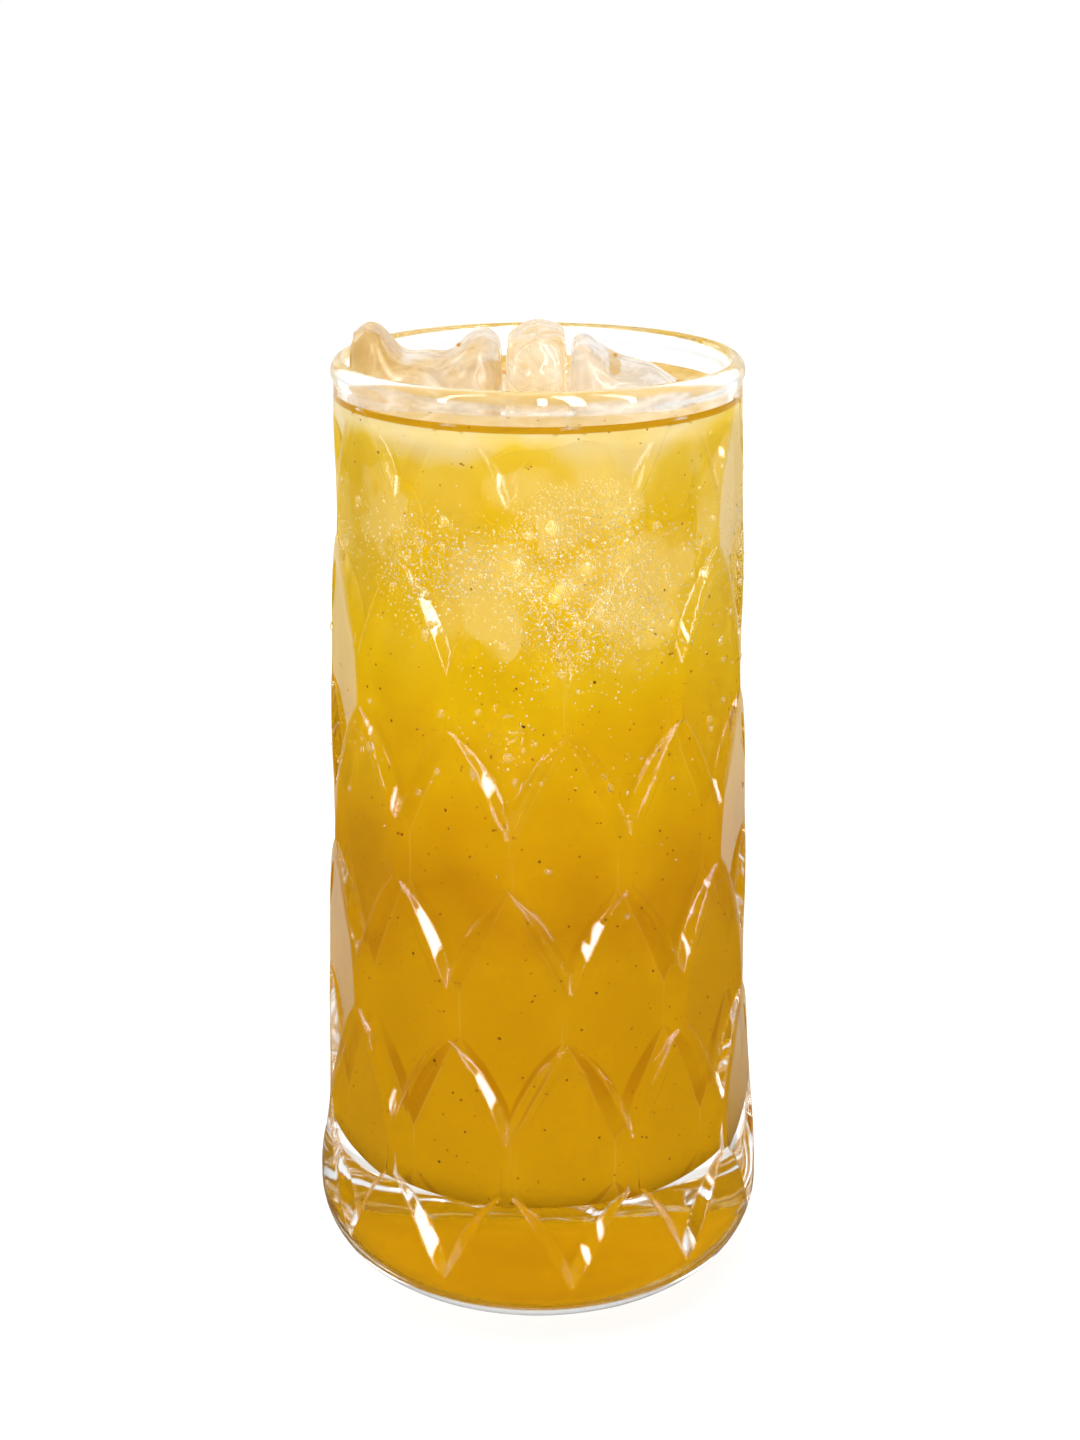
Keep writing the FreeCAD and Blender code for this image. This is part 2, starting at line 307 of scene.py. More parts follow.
def clear_material(name, colour, index, roughness=0.0, normal=None, veil=None):
    """Clear stuff that bends light, and lets a lamp's light through its wall."""
    material, tree = new_material(name)
    sockets = {"Base Color": colour, "Roughness": roughness, "IOR": index,
               "Transmission Weight": 1.0}
    if normal:
        sockets["Normal"] = normal(tree)
    clear = node(tree, "ShaderNodeBsdfPrincipled", None, sockets)
    if veil:
        clear = veil(tree, clear)
    gap = node(tree, "ShaderNodeBsdfTransparent", None, {"Color": colour})
    through = node(tree, "ShaderNodeLightPath", output="Is Shadow Ray")
    finish_material(tree, node(tree, "ShaderNodeMixShader", None, {0: through, 1: clear, 2: gap}))
    return material


def dress(node_name, material):
    for material_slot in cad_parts[node_name].material_slots:
        material_slot.material = material


def pressed_ripple(tree):
    """Fire-polished edges, and the faint waves that the mould leaves on the wall."""
    place = object_place(tree)
    broad = node(tree, "ShaderNodeTexNoise", None, {"Vector": place, "Scale": 110.0, "Detail": 1.0})
    fine = node(tree, "ShaderNodeTexNoise", None, {"Vector": place, "Scale": 600.0, "Detail": 2.0})
    polished = node(tree, "ShaderNodeBevel", {"samples": 4}, {"Radius": 0.0007})
    waved = node(tree, "ShaderNodeBump", None, {
        "Strength": 1.0, "Distance": 0.00004, "Height": broad + fine * 0.12, "Normal": polished})
    return node(tree, "ShaderNodeBump", None, {
        "Strength": 1.0, "Distance": 0.000045, "Height": dew_relief(tree, place), "Normal": waved})


glass_material = clear_material("PressedGlass", (0.985, 0.99, 0.985), 1.5, normal=pressed_ripple,
                                veil=dew_veil)
dress("glass", glass_material)


# ---------------------------------------------------------------------------
# Drink: cloudy golden mango tea up to its level, lathed in one piece. It reaches
# just into the wall and floor, and creeps up the wall in a thin dark meniscus.
# ---------------------------------------------------------------------------
drink_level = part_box("drink")[1].z
drink_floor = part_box("drink")[0].z
bore_top_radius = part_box("drink")[1].x
bore_floor_radius = 0.0284
floor_corner = 0.006
floor_sag = 0.0008
wall_bite = 0.00012
creep_height = 0.0012
creep_reach = 0.0026
turns = 160
floor_steps = 12
corner_steps = 8
wall_steps = 30
creep_steps = 8
top_steps = 16


def bore_radius(height):
    share = (height - drink_floor) / (drink_level - drink_floor)
    return bore_floor_radius + (bore_top_radius - bore_floor_radius) * share


def drink_profile():
    floor_rim = drink_floor + floor_sag
    corner_radius = bore_radius(floor_rim + floor_corner)
    floor_radius = corner_radius - floor_corner
    points = []
    for step in range(1, floor_steps + 1):
        along = step / floor_steps
        points.append((floor_radius * along, drink_floor - wall_bite + floor_sag * along ** 2))
    for step in range(1, corner_steps + 1):
        turn = math.pi / 2 * step / corner_steps
        reach = floor_corner + wall_bite
        points.append((floor_radius + reach * math.sin(turn),
                       floor_rim + floor_corner - reach * math.cos(turn)))
    low = floor_rim + floor_corner
    high = drink_level + creep_height
    for step in range(1, wall_steps + 1):
        height = low + (high - low) * step / wall_steps
        points.append((bore_radius(height) + wall_bite, height))
    for step in range(1, creep_steps + 1):
        away = step / creep_steps
        points.append((bore_radius(drink_level) - creep_reach * away,
                       drink_level + creep_height * (1 - away) ** 3))
    inner = bore_radius(drink_level) - creep_reach
    for step in range(1, top_steps + 1):
        points.append((inner * (1 - step / (top_steps + 1)), drink_level))
    return points


def lathe(name, profile, closed_low, closed_high, segments):
    """Closed turned mesh: one ring of points for each step of the profile."""
    builder = bmesh.new()
    rings = []
    for radius, height in profile:
        ring = []
        for turn in range(segments):
            angle = 2 * math.pi * turn / segments
            ring.append(builder.verts.new((radius * math.cos(angle), radius * math.sin(angle), height)))
        rings.append(ring)
    low = builder.verts.new((0, 0, closed_low))
    high = builder.verts.new((0, 0, closed_high))
    for lower, upper in zip(rings, rings[1:]):
        for turn in range(segments):
            after = (turn + 1) % segments
            builder.faces.new((lower[turn], lower[after], upper[after], upper[turn]))
    for turn in range(segments):
        after = (turn + 1) % segments
        builder.faces.new((low, rings[0][after], rings[0][turn]))
        builder.faces.new((high, rings[-1][turn], rings[-1][after]))
    for face in builder.faces:
        face.smooth = True
    return mesh_object(name, builder)


drink = lathe("DrinkBody", drink_profile(), drink_floor - wall_bite, drink_level, turns)

leaf_count = 11
leaf_stagger = 0.25
lowest_tip = 0.0088
leaf_point = 0.0176
row_pitch = 0.02525
leaf_half_width = 0.0099
wedge_width = 0.0034
glimpse_drop = 0.0011


def leaf_family(tree, place, first_tip, stagger):
    """Height above the tip, and distance inside the edge, for every second row of leaves."""
    wobble = node(tree, "ShaderNodeTexNoise", None, {"Vector": place, "Scale": 160.0, "Detail": 1.0})
    climb = split(tree, place, "Z") + glimpse_drop - first_tip + (wobble - 0.5) * 0.0012
    above = climb.math("FLOORED_MODULO", climb, 2 * row_pitch)
    angle = above.math("ARCTAN2", split(tree, place, "X"), 0 - split(tree, place, "Y"))
    share = angle * (leaf_count / (2 * math.pi)) - stagger + (wobble - 0.5) * 0.03
    across = 2 * above.math("ABSOLUTE", share - above.math("ROUND", share))
    roof = (leaf_point + row_pitch - above) / leaf_point
    half = above.math("MINIMUM", above.math("MINIMUM", above / leaf_point, roof), 1.0)
    return above, (half - across) * leaf_half_width


def cut_light(tree, place):
    """How the cut wall gathers light on the drink, painted into its colour: painted shade in each V, a
    painted bright line at each ridge.
    """
    above_even, inside_even = leaf_family(tree, place, lowest_tip, leaf_stagger)
    above_odd, inside_odd = leaf_family(tree, place, lowest_tip + row_pitch, -leaf_stagger)
    dusk = 0.0
    for above, inside in ((above_even, inside_even), (above_odd, inside_odd)):
        along = above.math("MINIMUM", above / leaf_point, 1.0)
        wedge = wedge_width * above.math("SINE", along * math.pi) ** 0.6
        within = smooth_step(tree, inside, -0.0002, 0.0002)
        dusk = dusk + within * (1 - smooth_step(tree, inside - wedge, -0.0004, 0.0002))
    nearest = above_even.math("MAXIMUM", inside_even, inside_odd)
    ridge = 1 - smooth_step(tree, nearest, 0.00005, 0.00040)
    return dusk, ridge


tea_stops = [
    (0.0, (0.600, 0.305, 0.002)),
    (0.20, (0.610, 0.307, 0.002)),
    (0.32, (0.605, 0.309, 0.002)),
    (0.40, (0.553, 0.262, 0.002)),
    (0.50, (0.648, 0.338, 0.002)),
    (0.57, (0.677, 0.381, 0.002)),
    (0.64, (0.715, 0.410, 0.003)),
    (0.70, (0.740, 0.464, 0.003)),
    (0.82, (0.740, 0.480, 0.004)),
    (0.90, (0.750, 0.480, 0.006)),
    (0.96, (0.752, 0.518, 0.040)),
    (1.0, (0.762, 0.610, 0.290)),
]


def tea_colour(tree):
    """Golden tea: deep amber low down and paler higher up, and hazy where the ice melts."""
    place = object_place(tree)
    cloud = node(tree, "ShaderNodeTexNoise", None, {"Vector": place, "Scale": 60.0, "Detail": 2.0})
    share = node(tree, "ShaderNodeMapRange", None, {
        "Value": split(tree, place, "Z") + (cloud - 0.5) * 0.035,
        "From Min": drink_floor, "From Max": drink_level})
    melt = node(tree, "ShaderNodeTexNoise", None, {"Vector": place, "Scale": 48.0, "Detail": 3.0})
    haze = smooth_step(tree, melt, 0.42, 0.72) * smooth_step(tree, share, 0.66, 0.86)
    tea = node(tree, "ShaderNodeValToRGB", {"stops": tea_stops}, {0: share})
    return blend(tree, haze * 0.36, tea, (0.88, 0.64, 0.13))


drink_material, drink_tree = new_material("MangoTea")
# Painted light: the drink's colour darkens in each V of the cut wall (painted shade) and brightens along
# each ridge (painted highlight).
painted_dusk_mask, painted_ridge_light_mask = cut_light(drink_tree, object_place(drink_tree))
light_drift = smooth_step(drink_tree, node(drink_tree, "ShaderNodeTexNoise", None, {
    "Vector": object_place(drink_tree), "Scale": 90.0, "Detail": 2.0}), 0.36, 0.62)
below_bead = 1 - smooth_step(drink_tree, split(drink_tree, object_place(drink_tree), "Z"),
                             drink_level - 0.004, drink_level)
low_down = 1 - smooth_step(drink_tree, split(drink_tree, object_place(drink_tree), "Z"), 0.040, 0.085)
# Painted shade in each V of the cut wall.
painted_dusk_share = painted_dusk_mask * below_bead * (0.25 + 0.75 * light_drift) * (0.22 + 0.78 * low_down)
tea_with_painted_dusk = blend(drink_tree, painted_dusk_share, tea_colour(drink_tree), (0.84, 0.72, 0.6), "MULTIPLY")
# Painted bright line under each ridge of the cut wall.
painted_ridge_light_share = painted_ridge_light_mask * below_bead * (0.01 + 0.07 * light_drift)
tea_with_painted_ridge_light = blend(drink_tree, painted_ridge_light_share, tea_with_painted_dusk, (1.0, 0.80, 0.20))
tide_line = smooth_step(drink_tree, split(drink_tree, object_place(drink_tree), "Z"),
                        drink_level + 0.00005, drink_level + 0.00025)
drink_colour = blend(drink_tree, tide_line, tea_with_painted_ridge_light, (0.56, 0.28, 0.008))
finish_material(drink_tree, node(drink_tree, "ShaderNodeBsdfPrincipled", None, {
    "Base Color": drink_colour, "Roughness": 0.5, "Specular IOR Level": 0.0}))
top_material, top_tree = new_material("TeaTop")
top_swirl = node(top_tree, "ShaderNodeTexNoise", None, {
    "Vector": object_place(top_tree), "Scale": 110.0, "Detail": 3.0, "Distortion": 0.8})
top_colour = node(top_tree, "ShaderNodeValToRGB", {"stops": [
    (0.35, (0.54, 0.33, 0.05)), (0.55, (0.61, 0.41, 0.13)), (0.70, (0.65, 0.51, 0.27))]},
    {0: top_swirl})
finish_material(top_tree, node(top_tree, "ShaderNodeBsdfPrincipled", None, {
    "Base Color": top_colour, "Roughness": 0.5, "Specular IOR Level": 0.0,
    "Coat Weight": 1.0, "Coat IOR": 1.33, "Coat Roughness": 0.03}))
drink.data.materials.append(drink_material)
drink.data.materials.append(top_material)
for face in drink.data.polygons:
    if face.normal.z > 0.7 and face.center.z > drink_level - 0.0001:
        face.material_index = 1
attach(drink, "root")
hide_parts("drink")


# ---------------------------------------------------------------------------
# Tea glow in the foot: a thin tea-coloured sheet that clings under the base and fills
# its hollow. It is painted light: it gives the thick base the glow that light through the tea would give
# it.
# ---------------------------------------------------------------------------
punt_radius = 0.017
punt_depth = 0.0016
punt_lip = 0.0004
film_radius = foot_radius - 0.0134
film_bite = 0.00008
film_floor = 0.00002
film_steps = 12
film_turns = 96


def film_profile():
    points = [(film_radius * step / film_steps, film_floor) for step in range(1, film_steps + 1)]
    ball = (punt_radius ** 2 + punt_depth ** 2) / (2 * punt_depth)
    points.append((film_radius, film_bite))
    points.append((punt_radius + punt_lip, film_bite))
    for step in range(1, film_steps + 1):
        radius = punt_radius * (1 - step / (film_steps + 1))
        points.append((radius, punt_depth - ball + math.sqrt(ball ** 2 - radius ** 2) + film_bite))
    return points


tea_glow_sheet = lathe("TeaGlowFoot", film_profile(), film_floor, punt_depth + film_bite, film_turns)
# Painted light: the sheet's amber stands in for tea-coloured light in the base.
painted_glow_material, painted_glow_tree = new_material("PaintedTeaGlow")
painted_glow_cloud = node(painted_glow_tree, "ShaderNodeTexNoise", None, {
    "Vector": object_place(painted_glow_tree), "Scale": 90.0, "Detail": 3.0})
painted_glow_colour = blend(painted_glow_tree, painted_glow_cloud, (0.69, 0.365, 0.002), (0.80, 0.445, 0.003))
finish_material(painted_glow_tree, node(painted_glow_tree, "ShaderNodeBsdfPrincipled", None, {
    "Base Color": painted_glow_colour, "Roughness": 0.5, "Specular IOR Level": 0.0}))
tea_glow_sheet.data.materials.append(painted_glow_material)
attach(tea_glow_sheet, "root")


# ---------------------------------------------------------------------------
# Sunk ice: melted blocks under the level that lean on the wall. Each shows as a
# pale, hazy patch where it presses the cloudy tea away from the glass.
# ---------------------------------------------------------------------------
ice_bite = 0.00018
ice_inset = 0.0020
ice_half_depth = 0.0090
cover_reach = 0.0070
sunk_blocks = [
    (-14, 0.1225, 0.0095, 0.0125),
    (31, 0.1240, 0.0130, 0.0100),
    (-52, 0.1335, 0.0080, 0.0080),
    (10, 0.1370, 0.0130, 0.0085),
    (66, 0.1330, 0.0100, 0.0115),
    (98, 0.1180, 0.0120, 0.0120),
    (130, 0.1330, 0.0110, 0.0100),
    (165, 0.1220, 0.0130, 0.0130),
    (-158, 0.1340, 0.0110, 0.0090),
    (-122, 0.1200, 0.0120, 0.0130),
    (-84, 0.1290, 0.0100, 0.0120),
]


def sunk_block(builder, cover, azimuth, height, half_width, half_height, seed):
    turn = math.radians(azimuth)
    outward = Vector((math.sin(turn), -math.cos(turn), 0))
    across = Vector((math.cos(turn), math.sin(turn), 0))
    centre = outward * (bore_radius(height) - ice_inset) + Vector((0, 0, height))
    made = bmesh.ops.create_icosphere(builder, subdivisions=5, radius=1.0)
    for corner in made["verts"]:
        share = corner.co.normalized()
        lump = 1 + 0.35 * noise.noise(share * 1.9 + Vector((seed * 7.3, 0, 0)))
        place = (centre + across * (share.x * half_width * lump)
                 + outward * (share.y * ice_half_depth * lump)
                 + Vector((0, 0, share.z * half_height * lump)))
        reach = math.hypot(place.x, place.y)
        wall = bore_radius(place.z)
        corner[cover] = max(0.0, min(1.0, (reach - wall) / cover_reach))
        if share.y > 0.0 or reach > wall + ice_bite:
            place.xy = place.xy * ((wall + ice_bite) / reach)
        corner.co = place


ice_builder = bmesh.new()
ice_cover = ice_builder.verts.layers.float.new("cover")
for number, block in enumerate(sunk_blocks):
    sunk_block(ice_builder, ice_cover, *block, seed=number)
sunk_ice = mesh_object("SunkIce", ice_builder)
sunk_material, sunk_tree = new_material("SunkIceHaze")
sunk_cover = node(sunk_tree, "ShaderNodeAttribute", {"attribute_name": "cover"}, output="Fac")
sunk_wisps = node(sunk_tree, "ShaderNodeTexNoise", None, {
    "Vector": object_place(sunk_tree), "Scale": 230.0, "Detail": 3.0})
sunk_haze = smooth_step(sunk_tree, sunk_cover ** 1.7 * (0.3 + 1.6 * sunk_wisps), 0.02, 1.0) * 0.6
sunk_colour = blend(sunk_tree, sunk_haze, tea_colour(sunk_tree), (0.85, 0.63, 0.17))
finish_material(sunk_tree, node(sunk_tree, "ShaderNodeBsdfPrincipled", None, {
    "Base Color": sunk_colour, "Roughness": 0.5, "Specular IOR Level": 0.0}))
sunk_ice.data.materials.append(sunk_material)
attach(sunk_ice, "root")


# ---------------------------------------------------------------------------
# Specks: fine tea dust and mango fibre that hang in the drink against the wall.
# Small dark grains scattered over the skin of the drink.
# ---------------------------------------------------------------------------
def scatter_tree(name, material, pick, dome):
    """Grains or drops strewn over a surface: density, sizes and seed are named inputs."""
    tree = bpy.data.node_groups.new(name, "GeometryNodeTree")
    tree.interface.new_socket("Geometry", in_out="INPUT", socket_type="NodeSocketGeometry")
    for label, kind in (("Per Square Metre", "NodeSocketFloat"), ("Smallest", "NodeSocketFloat"),
                        ("Largest", "NodeSocketFloat"), ("Flatness", "NodeSocketFloat"),
                        ("Seed", "NodeSocketInt")):
        tree.interface.new_socket(label, in_out="INPUT", socket_type=kind)
    tree.interface.new_socket("Geometry", in_out="OUTPUT", socket_type="NodeSocketGeometry")
    enter = tree.nodes.new("NodeGroupInput")
    given = {socket.name: Sock(tree, socket) for socket in enter.outputs if socket.name}
    strewn = tree.nodes.new("GeometryNodeDistributePointsOnFaces")
    tree.links.new(given["Geometry"].socket, strewn.inputs["Mesh"])
    tree.links.new((given["Per Square Metre"] * pick(tree)).socket, strewn.inputs["Density"])
    tree.links.new(given["Seed"].socket, strewn.inputs["Seed"])
    points = Sock(tree, strewn.outputs["Points"])
    normal = Sock(tree, strewn.outputs["Normal"])
    chance = node(tree, "FunctionNodeRandomValue", {"data_type": "FLOAT"}, {
        "Seed": given["Seed"]}, output=1)
    size = given["Smallest"] + (given["Largest"] - given["Smallest"]) * chance ** 3.0
    spin = node(tree, "FunctionNodeRandomValue", {"data_type": "FLOAT"}, {
        3: 6.2832, "Seed": given["Seed"] + 1}, output=1)
    turned = node(tree, "FunctionNodeAlignRotationToVector", {"axis": "Z"}, {"Vector": normal})
    spun = node(tree, "FunctionNodeAxisAngleToRotation", None, {"Axis": (0.0, 0.0, 1.0), "Angle": spin})
    facing = node(tree, "FunctionNodeRotateRotation", {"rotation_space": "LOCAL"}, {
        0: turned, 1: spun})
    long_way = node(tree, "FunctionNodeRandomValue", {"data_type": "FLOAT"}, {
        2: 0.7, 3: 1.5, "Seed": given["Seed"] + 2}, output=1)
    spread = node(tree, "ShaderNodeCombineXYZ", None, {
        0: size * long_way, 1: size, 2: size * given["Flatness"]})
    if dome:
        grain = node(tree, "GeometryNodeMeshUVSphere", None, {"Segments": 10, "Rings": 7, "Radius": 1.0})
    else:
        grain = node(tree, "GeometryNodeMeshIcoSphere", None, {"Radius": 1.0, "Subdivisions": 1})
    strewn_grains = node(tree, "GeometryNodeInstanceOnPoints", None, {
        "Points": points, "Instance": grain, "Rotation": facing, "Scale": spread})
    solid = node(tree, "GeometryNodeRealizeInstances", None, {"Geometry": strewn_grains})
    smooth = node(tree, "GeometryNodeSetShadeSmooth", None, {"Geometry": solid})
    painted = node(tree, "GeometryNodeSetMaterial", None, {"Geometry": smooth, "Material": material})
    leave = tree.nodes.new("NodeGroupOutput")
    tree.links.new(painted.socket, leave.inputs[0])
    return tree


def strew(name, source, tree, **values):
    """Runs the tree on a copy of the source's mesh and keeps the result as a plain mesh."""
    base = bpy.data.objects.new(name, source.data.copy())
    scene.collection.objects.link(base)
    modifier = base.modifiers.new(name, "NODES")
    modifier.node_group = tree
    labels = {item.name: item.identifier for item in tree.interface.items_tree
              if item.in_out == "INPUT"}
    for label, value in values.items():
        modifier[labels[label.replace("_", " ")]] = value
    graph = bpy.context.evaluated_depsgraph_get()
    plain = bpy.data.meshes.new_from_object(base.evaluated_get(graph))
    base.modifiers.clear()
    base.data = plain
    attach(base, "root")
    return base


speck_material, speck_tree = new_material("TeaDust")
speck_shade = node(speck_tree, "ShaderNodeTexNoise", None, {
    "Vector": object_place(speck_tree), "Scale": 500.0, "Detail": 1.0})
speck_colour = node(speck_tree, "ShaderNodeValToRGB", {"stops": [
    (0.35, (0.10, 0.035, 0.004)), (0.5, (0.30, 0.11, 0.004)), (0.65, (0.60, 0.22, 0.004))]},
    {0: speck_shade})
finish_material(speck_tree, node(speck_tree, "ShaderNodeBsdfPrincipled", None, {
    "Base Color": speck_colour, "Roughness": 0.6, "Specular IOR Level": 0.0}))
everywhere = scatter_tree("SpeckScatter", speck_material, lambda tree: 1.0, dome=False)
specks = strew("Specks", drink, everywhere, Per_Square_Metre=90000.0, Smallest=0.00007,
               Largest=0.00026, Flatness=0.5, Seed=11)


# ---------------------------------------------------------------------------
# Beads: drops of condensed water that stand on the cold outside of the wall,
# thickest over the ice and none near the foot. Clear domes, strewn by nodes.
# ---------------------------------------------------------------------------
water_material = clear_material("Dew", (1.0, 1.0, 1.0), 1.33)


def cold_wall(tree, low, high, drift_scale, thin):
    """How much dew each spot of the glass holds: outer wall only, in drifts, most near the ice."""
    place = node(tree, "GeometryNodeInputPosition")
    normal = node(tree, "GeometryNodeInputNormal")
    height = split(tree, place, "Z")
    flat = node(tree, "ShaderNodeVectorMath", {"operation": "MULTIPLY"}, {
        0: place, 1: (1.0, 1.0, 0.0)})
    outward = node(tree, "ShaderNodeVectorMath", {"operation": "NORMALIZE"}, {0: flat})
    facing = measure(tree, "DOT_PRODUCT", outward, normal)
    drift = node(tree, "ShaderNodeTexNoise", None, {
        "Vector": place, "Scale": drift_scale, "Detail": 1.0})
    band = smooth_step(tree, height, low, low + 0.035) * (1 - smooth_step(tree, height, high - 0.012, high))
    thick = cold_cover(tree, place, 0.3, 1.0)
    drifts = thin + smooth_step(tree, drift, 0.47, 0.62) * 0.5 + thick
    return smooth_step(tree, facing, 0.3, 0.5) * band * drifts


dew_scatter = scatter_tree("DewScatter", water_material,
                           lambda tree: cold_wall(tree, 0.070, 0.146, 60.0, 0.08), dome=True)
beads = strew("Beads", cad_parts["glass"], dew_scatter, Per_Square_Metre=90000.0,
              Smallest=0.00020, Largest=0.00085, Flatness=0.5, Seed=5)


# ---------------------------------------------------------------------------
# Wet runs: drops that have joined and crept down the wall. Short clear tubes
# that wander, taper at both ends and lie half sunk on the glass.
# ---------------------------------------------------------------------------
outside_radius = 0.06
wall_radius = 0.0318
run_step = 0.00022
run_sides = 8
run_flatness = 0.6


def wall_spot(azimuth, height):
    """Where the outside of the tumbler is, and which way it faces, at one bearing."""
    turn = math.radians(azimuth)
    outward = Vector((math.sin(turn), -math.cos(turn), 0))
    start = outward * outside_radius + Vector((0, 0, height))
    hit, place, normal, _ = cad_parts["glass"].ray_cast(start, -outward)
    return (place, normal) if hit else None


def wet_run(builder, azimuth, height, steps, thick):
    """A drop that has crept down the wall: a flat tube that wanders and tapers."""
    heading = random.uniform(-0.8, 0.8)
    rings = []
    spots = []
    for step in range(steps + 1):
        heading += random.uniform(-0.75, 0.75)
        azimuth += math.degrees(run_step * math.sin(heading) / wall_radius)
        height -= run_step * math.cos(heading) * (0.5 if step % 3 == 0 else 1.0)
        spots.append(wall_spot(azimuth, height))
    for step in range(1, steps):
        place, normal = spots[step]
        along = (spots[step + 1][0] - spots[step - 1][0]).normalized()
        across = normal.cross(along).normalized()
        share = 2 * step / steps - 1
        girth = thick * math.sqrt(max(0.05, 1 - share ** 2)) * random.uniform(0.85, 1.15)
        ring = []
        for turn in range(run_sides):
            angle = 2 * turn * math.pi / run_sides
            ring.append(builder.verts.new(
                place + across * (girth * math.cos(angle))
                + normal * (run_flatness * girth * math.sin(angle))))
        rings.append(ring)
    for lower, upper in zip(rings, rings[1:]):
        for turn in range(run_sides):
            after = (turn + 1) % run_sides
            builder.faces.new((lower[turn], lower[after], upper[after], upper[turn]))
    for ring, place in ((rings[0], spots[0][0]), (rings[-1], spots[-1][0])):
        tip = builder.verts.new(place)
        for turn in range(run_sides):
            builder.faces.new((tip, ring[(turn + 1) % run_sides], ring[turn]))


run_places = [
    (-6, 0.104, 0.004, 9), (-1, 0.125, 0.006, 11), (13, 0.128, 0.008, 8), (-33, 0.129, 0.005, 6),
    (40, 0.122, 0.008, 5), (110, 0.120, 0.012, 9), (-110, 0.122, 0.012, 9), (180, 0.122, 0.014, 12),
]
random.seed(4)
run_builder = bmesh.new()
for run_azimuth, run_height, run_spread, run_count in run_places:
    for _ in range(run_count):
        wet_run(run_builder, run_azimuth + random.gauss(0, 1) * math.degrees(run_spread / (2 * rim_radius)),
                run_height + random.gauss(0, 0.5) * run_spread, random.randint(4, 13),
                random.uniform(0.00012, 0.00026))
bmesh.ops.recalc_face_normals(run_builder, faces=run_builder.faces[:])
for face in run_builder.faces:
    face.smooth = True
runs = mesh_object("WetRuns", run_builder)
runs.data.materials.append(water_material)
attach(runs, "root")


# ---------------------------------------------------------------------------
# Mist: the finest drops, crowded round the cold spots like a bloom on the wall.
# Tiny grains of water, part of them painted white as glints of light.
# ---------------------------------------------------------------------------
mist_material, mist_tree = new_material("FineMist")
mist_glint_noise = node(mist_tree, "ShaderNodeTexNoise", None, {
    "Vector": object_place(mist_tree), "Scale": 900.0, "Detail": 1.0})
# Painted glints: part of the grains are white.
mist_colour_with_painted_glints = blend(mist_tree, smooth_step(mist_tree, mist_glint_noise, 0.4, 0.6),
                    (0.93, 0.76, 0.34), (1.0, 1.0, 0.96))
finish_material(mist_tree, node(mist_tree, "ShaderNodeBsdfPrincipled", None, {
    "Base Color": mist_colour_with_painted_glints, "Roughness": 0.05, "IOR": 1.33, "Transmission Weight": 0.25}))
mist_scatter = scatter_tree("MistScatter", mist_material,
                            lambda tree: cold_wall(tree, 0.085, 0.140, 45.0, 0.0), dome=False)
mist = strew("Mist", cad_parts["glass"], mist_scatter, Per_Square_Metre=1700000.0,
             Smallest=0.00006, Largest=0.00017, Flatness=0.5, Seed=8)


# ---------------------------------------------------------------------------
# Ice: three melted blocks that stand out of the drink, straight from the frame.
# Part clear and part frosted, with tea drawn into amber stains, and an amber patch of painted shade where
# the left and middle blocks meet.
# ---------------------------------------------------------------------------
ice_material, ice_tree = new_material("MeltingIce")
ice_place = object_place(ice_tree)
ice_dimples = node(ice_tree, "ShaderNodeTexNoise", None, {
    "Vector": ice_place, "Scale": 190.0, "Detail": 1.5})
ice_skin = node(ice_tree, "ShaderNodeBump", None, {
    "Strength": 1.0, "Distance": 0.0007, "Height": ice_dimples})
ice_clear = node(ice_tree, "ShaderNodeBsdfPrincipled", None, {
    "Base Color": (0.99, 0.97, 0.93), "Roughness": 0.02, "IOR": 1.31, "Transmission Weight": 1.0,
    "Normal": ice_skin})
ice_tint = node(ice_tree, "ShaderNodeTexNoise", None, {"Vector": ice_place, "Scale": 85.0, "Detail": 2.0})
ice_across = split(ice_tree, ice_place, "X")
ice_cream = node(ice_tree, "ShaderNodeValToRGB", {"stops": [
    (0.40, (0.74, 0.68, 0.58)), (0.52, (0.72, 0.57, 0.36)), (0.62, (0.66, 0.44, 0.15))]}, {0: ice_tint})
ice_pale = blend(ice_tree, 0.75 * smooth_step(ice_tree, ice_across, -0.006, 0.007),
                 ice_cream, (0.76, 0.74, 0.72))
# Amber patches: the first and last are stains of tea, the middle one is painted shade between the left and
# middle blocks.
ice_stains_and_shade = [
    (-0.0257, 0.1540, 0.0052),
    (-0.0072, 0.1525, 0.0022),
    (0.0118, 0.1537, 0.0013),
]
ice_amber_stain_and_shade = 0.0
for patch_x, patch_z, patch_radius in ice_stains_and_shade:
    patch_face = node(ice_tree, "ShaderNodeVectorMath", {"operation": "MULTIPLY"}, {
        0: ice_place, 1: (1.0, 0.0, 1.0)})
    patch_away = measure(ice_tree, "DISTANCE", patch_face, (patch_x, 0.0, patch_z))
    patch_edge = patch_away + (ice_tint - 0.5) * 0.004
    ice_amber_stain_and_shade = ice_amber_stain_and_shade + (1 - smooth_step(ice_tree, patch_edge, patch_radius * 0.75, patch_radius))
ice_colour = blend(ice_tree, ice_tint.math("MINIMUM", ice_amber_stain_and_shade, 0.8), ice_pale, (0.62, 0.37, 0.06))
ice_white = node(ice_tree, "ShaderNodeBsdfPrincipled", None, {
    "Base Color": ice_colour, "Roughness": 0.35, "Normal": ice_skin})
ice_cracks = node(ice_tree, "ShaderNodeTexNoise", None, {
    "Vector": ice_place, "Scale": 150.0, "Detail": 4.0, "Distortion": 1.2})
ice_clearing = (smooth_step(ice_tree, ice_across, -0.0056, -0.0050)
                * (1 - smooth_step(ice_tree, ice_across, 0.0048, 0.0052)))
ice_frost = 0.42 + 0.45 * smooth_step(ice_tree, ice_cracks, 0.40, 0.62) - 0.32 * ice_clearing
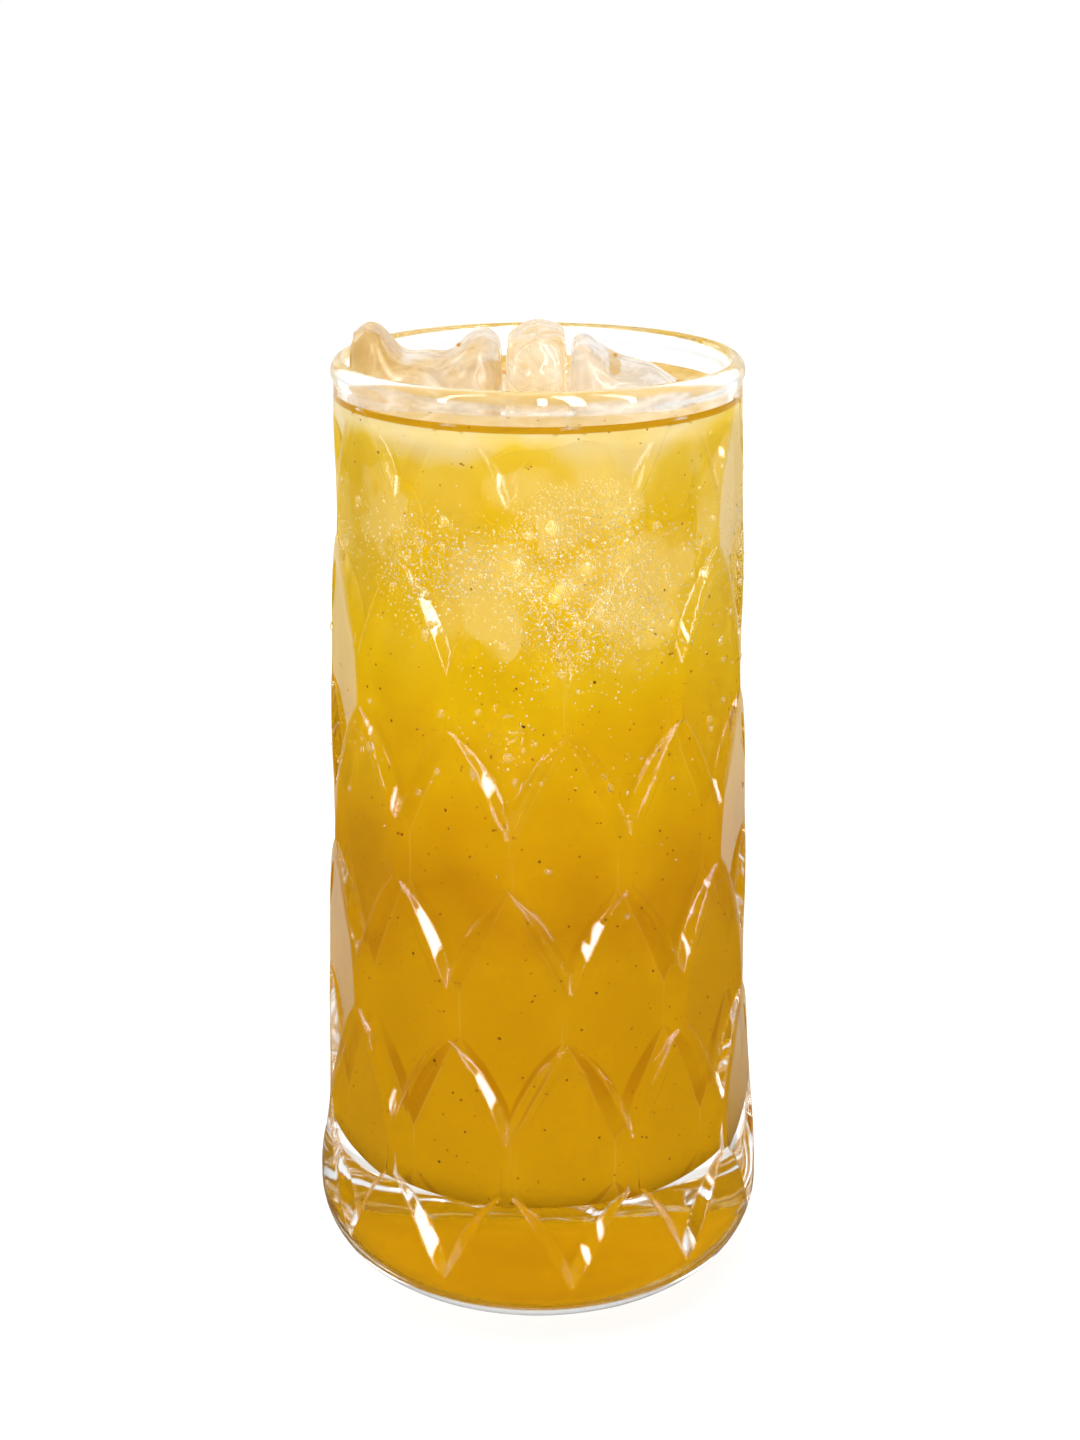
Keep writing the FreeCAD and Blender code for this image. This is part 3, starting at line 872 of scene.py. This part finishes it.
ice_body = node(ice_tree, "ShaderNodeMixShader", None, {
    0: ice_tint.math("MAXIMUM", ice_frost, 0.6 * ice_amber_stain_and_shade), 1: ice_clear, 2: ice_white})
ice_gap = node(ice_tree, "ShaderNodeBsdfTransparent", None, {"Color": (0.97, 0.94, 0.88)})
ice_shadow = node(ice_tree, "ShaderNodeLightPath", output="Is Shadow Ray")
finish_material(ice_tree, node(ice_tree, "ShaderNodeMixShader", None, {
    0: ice_shadow, 1: ice_body, 2: ice_gap}))
ice_names = ("ice_left", "ice_middle", "ice_right")
for ice_name in ice_names:
    dress(ice_name, ice_material)


# ---------------------------------------------------------------------------
# Pulp: shreds of mango left on the ice and afloat. Lumpy grains of orange fibre,
# each pressed half into what it lies on.
# ---------------------------------------------------------------------------
pulp_places = [
    (0.0222, -0.0020, 0.0016, 0.4), (0.0118, -0.0030, 0.0007, 1.2), (-0.0120, -0.0040, 0.0008, 2.0),
    (-0.0060, 0.0200, 0.0010, 0.2), (0.0110, 0.0210, 0.0012, 2.6), (0.0010, 0.0255, 0.0009, 1.0),
]
above_ice = 0.2
pulp_width = 0.45
pulp_height = 0.4
pulp_builder = bmesh.new()
for number, (pulp_x, pulp_y, pulp_size, pulp_turn) in enumerate(pulp_places):
    rest = drink_level
    for ice_name in ice_names:
        hit, place, _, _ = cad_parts[ice_name].ray_cast(
            Vector((pulp_x, pulp_y, above_ice)), Vector((0, 0, -1)))
        if hit:
            rest = max(rest, place.z)
    made = bmesh.ops.create_icosphere(pulp_builder, subdivisions=3, radius=1.0)
    for corner in made["verts"]:
        share = corner.co.normalized()
        lump = 1 + 0.5 * noise.noise(share * 2.3 + Vector((number * 5.1, 0, 0)))
        along = share.x * pulp_size * lump
        beside = share.y * pulp_size * pulp_width * lump
        corner.co = Vector((pulp_x + along * math.cos(pulp_turn) - beside * math.sin(pulp_turn),
                            pulp_y + along * math.sin(pulp_turn) + beside * math.cos(pulp_turn),
                            rest + share.z * pulp_size * pulp_height * lump))
for face in pulp_builder.faces:
    face.smooth = True
pulp = mesh_object("PulpBits", pulp_builder)
pulp_material, pulp_tree = new_material("MangoPulp")
pulp_fibre = node(pulp_tree, "ShaderNodeTexNoise", None, {
    "Vector": object_place(pulp_tree), "Scale": 1500.0, "Detail": 2.0})
pulp_colour = blend(pulp_tree, pulp_fibre, (0.45, 0.17, 0.004), (0.72, 0.38, 0.02))
finish_material(pulp_tree, node(pulp_tree, "ShaderNodeBsdfPrincipled", None, {
    "Base Color": pulp_colour, "Roughness": 0.35}))
pulp.data.materials.append(pulp_material)
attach(pulp, "root")
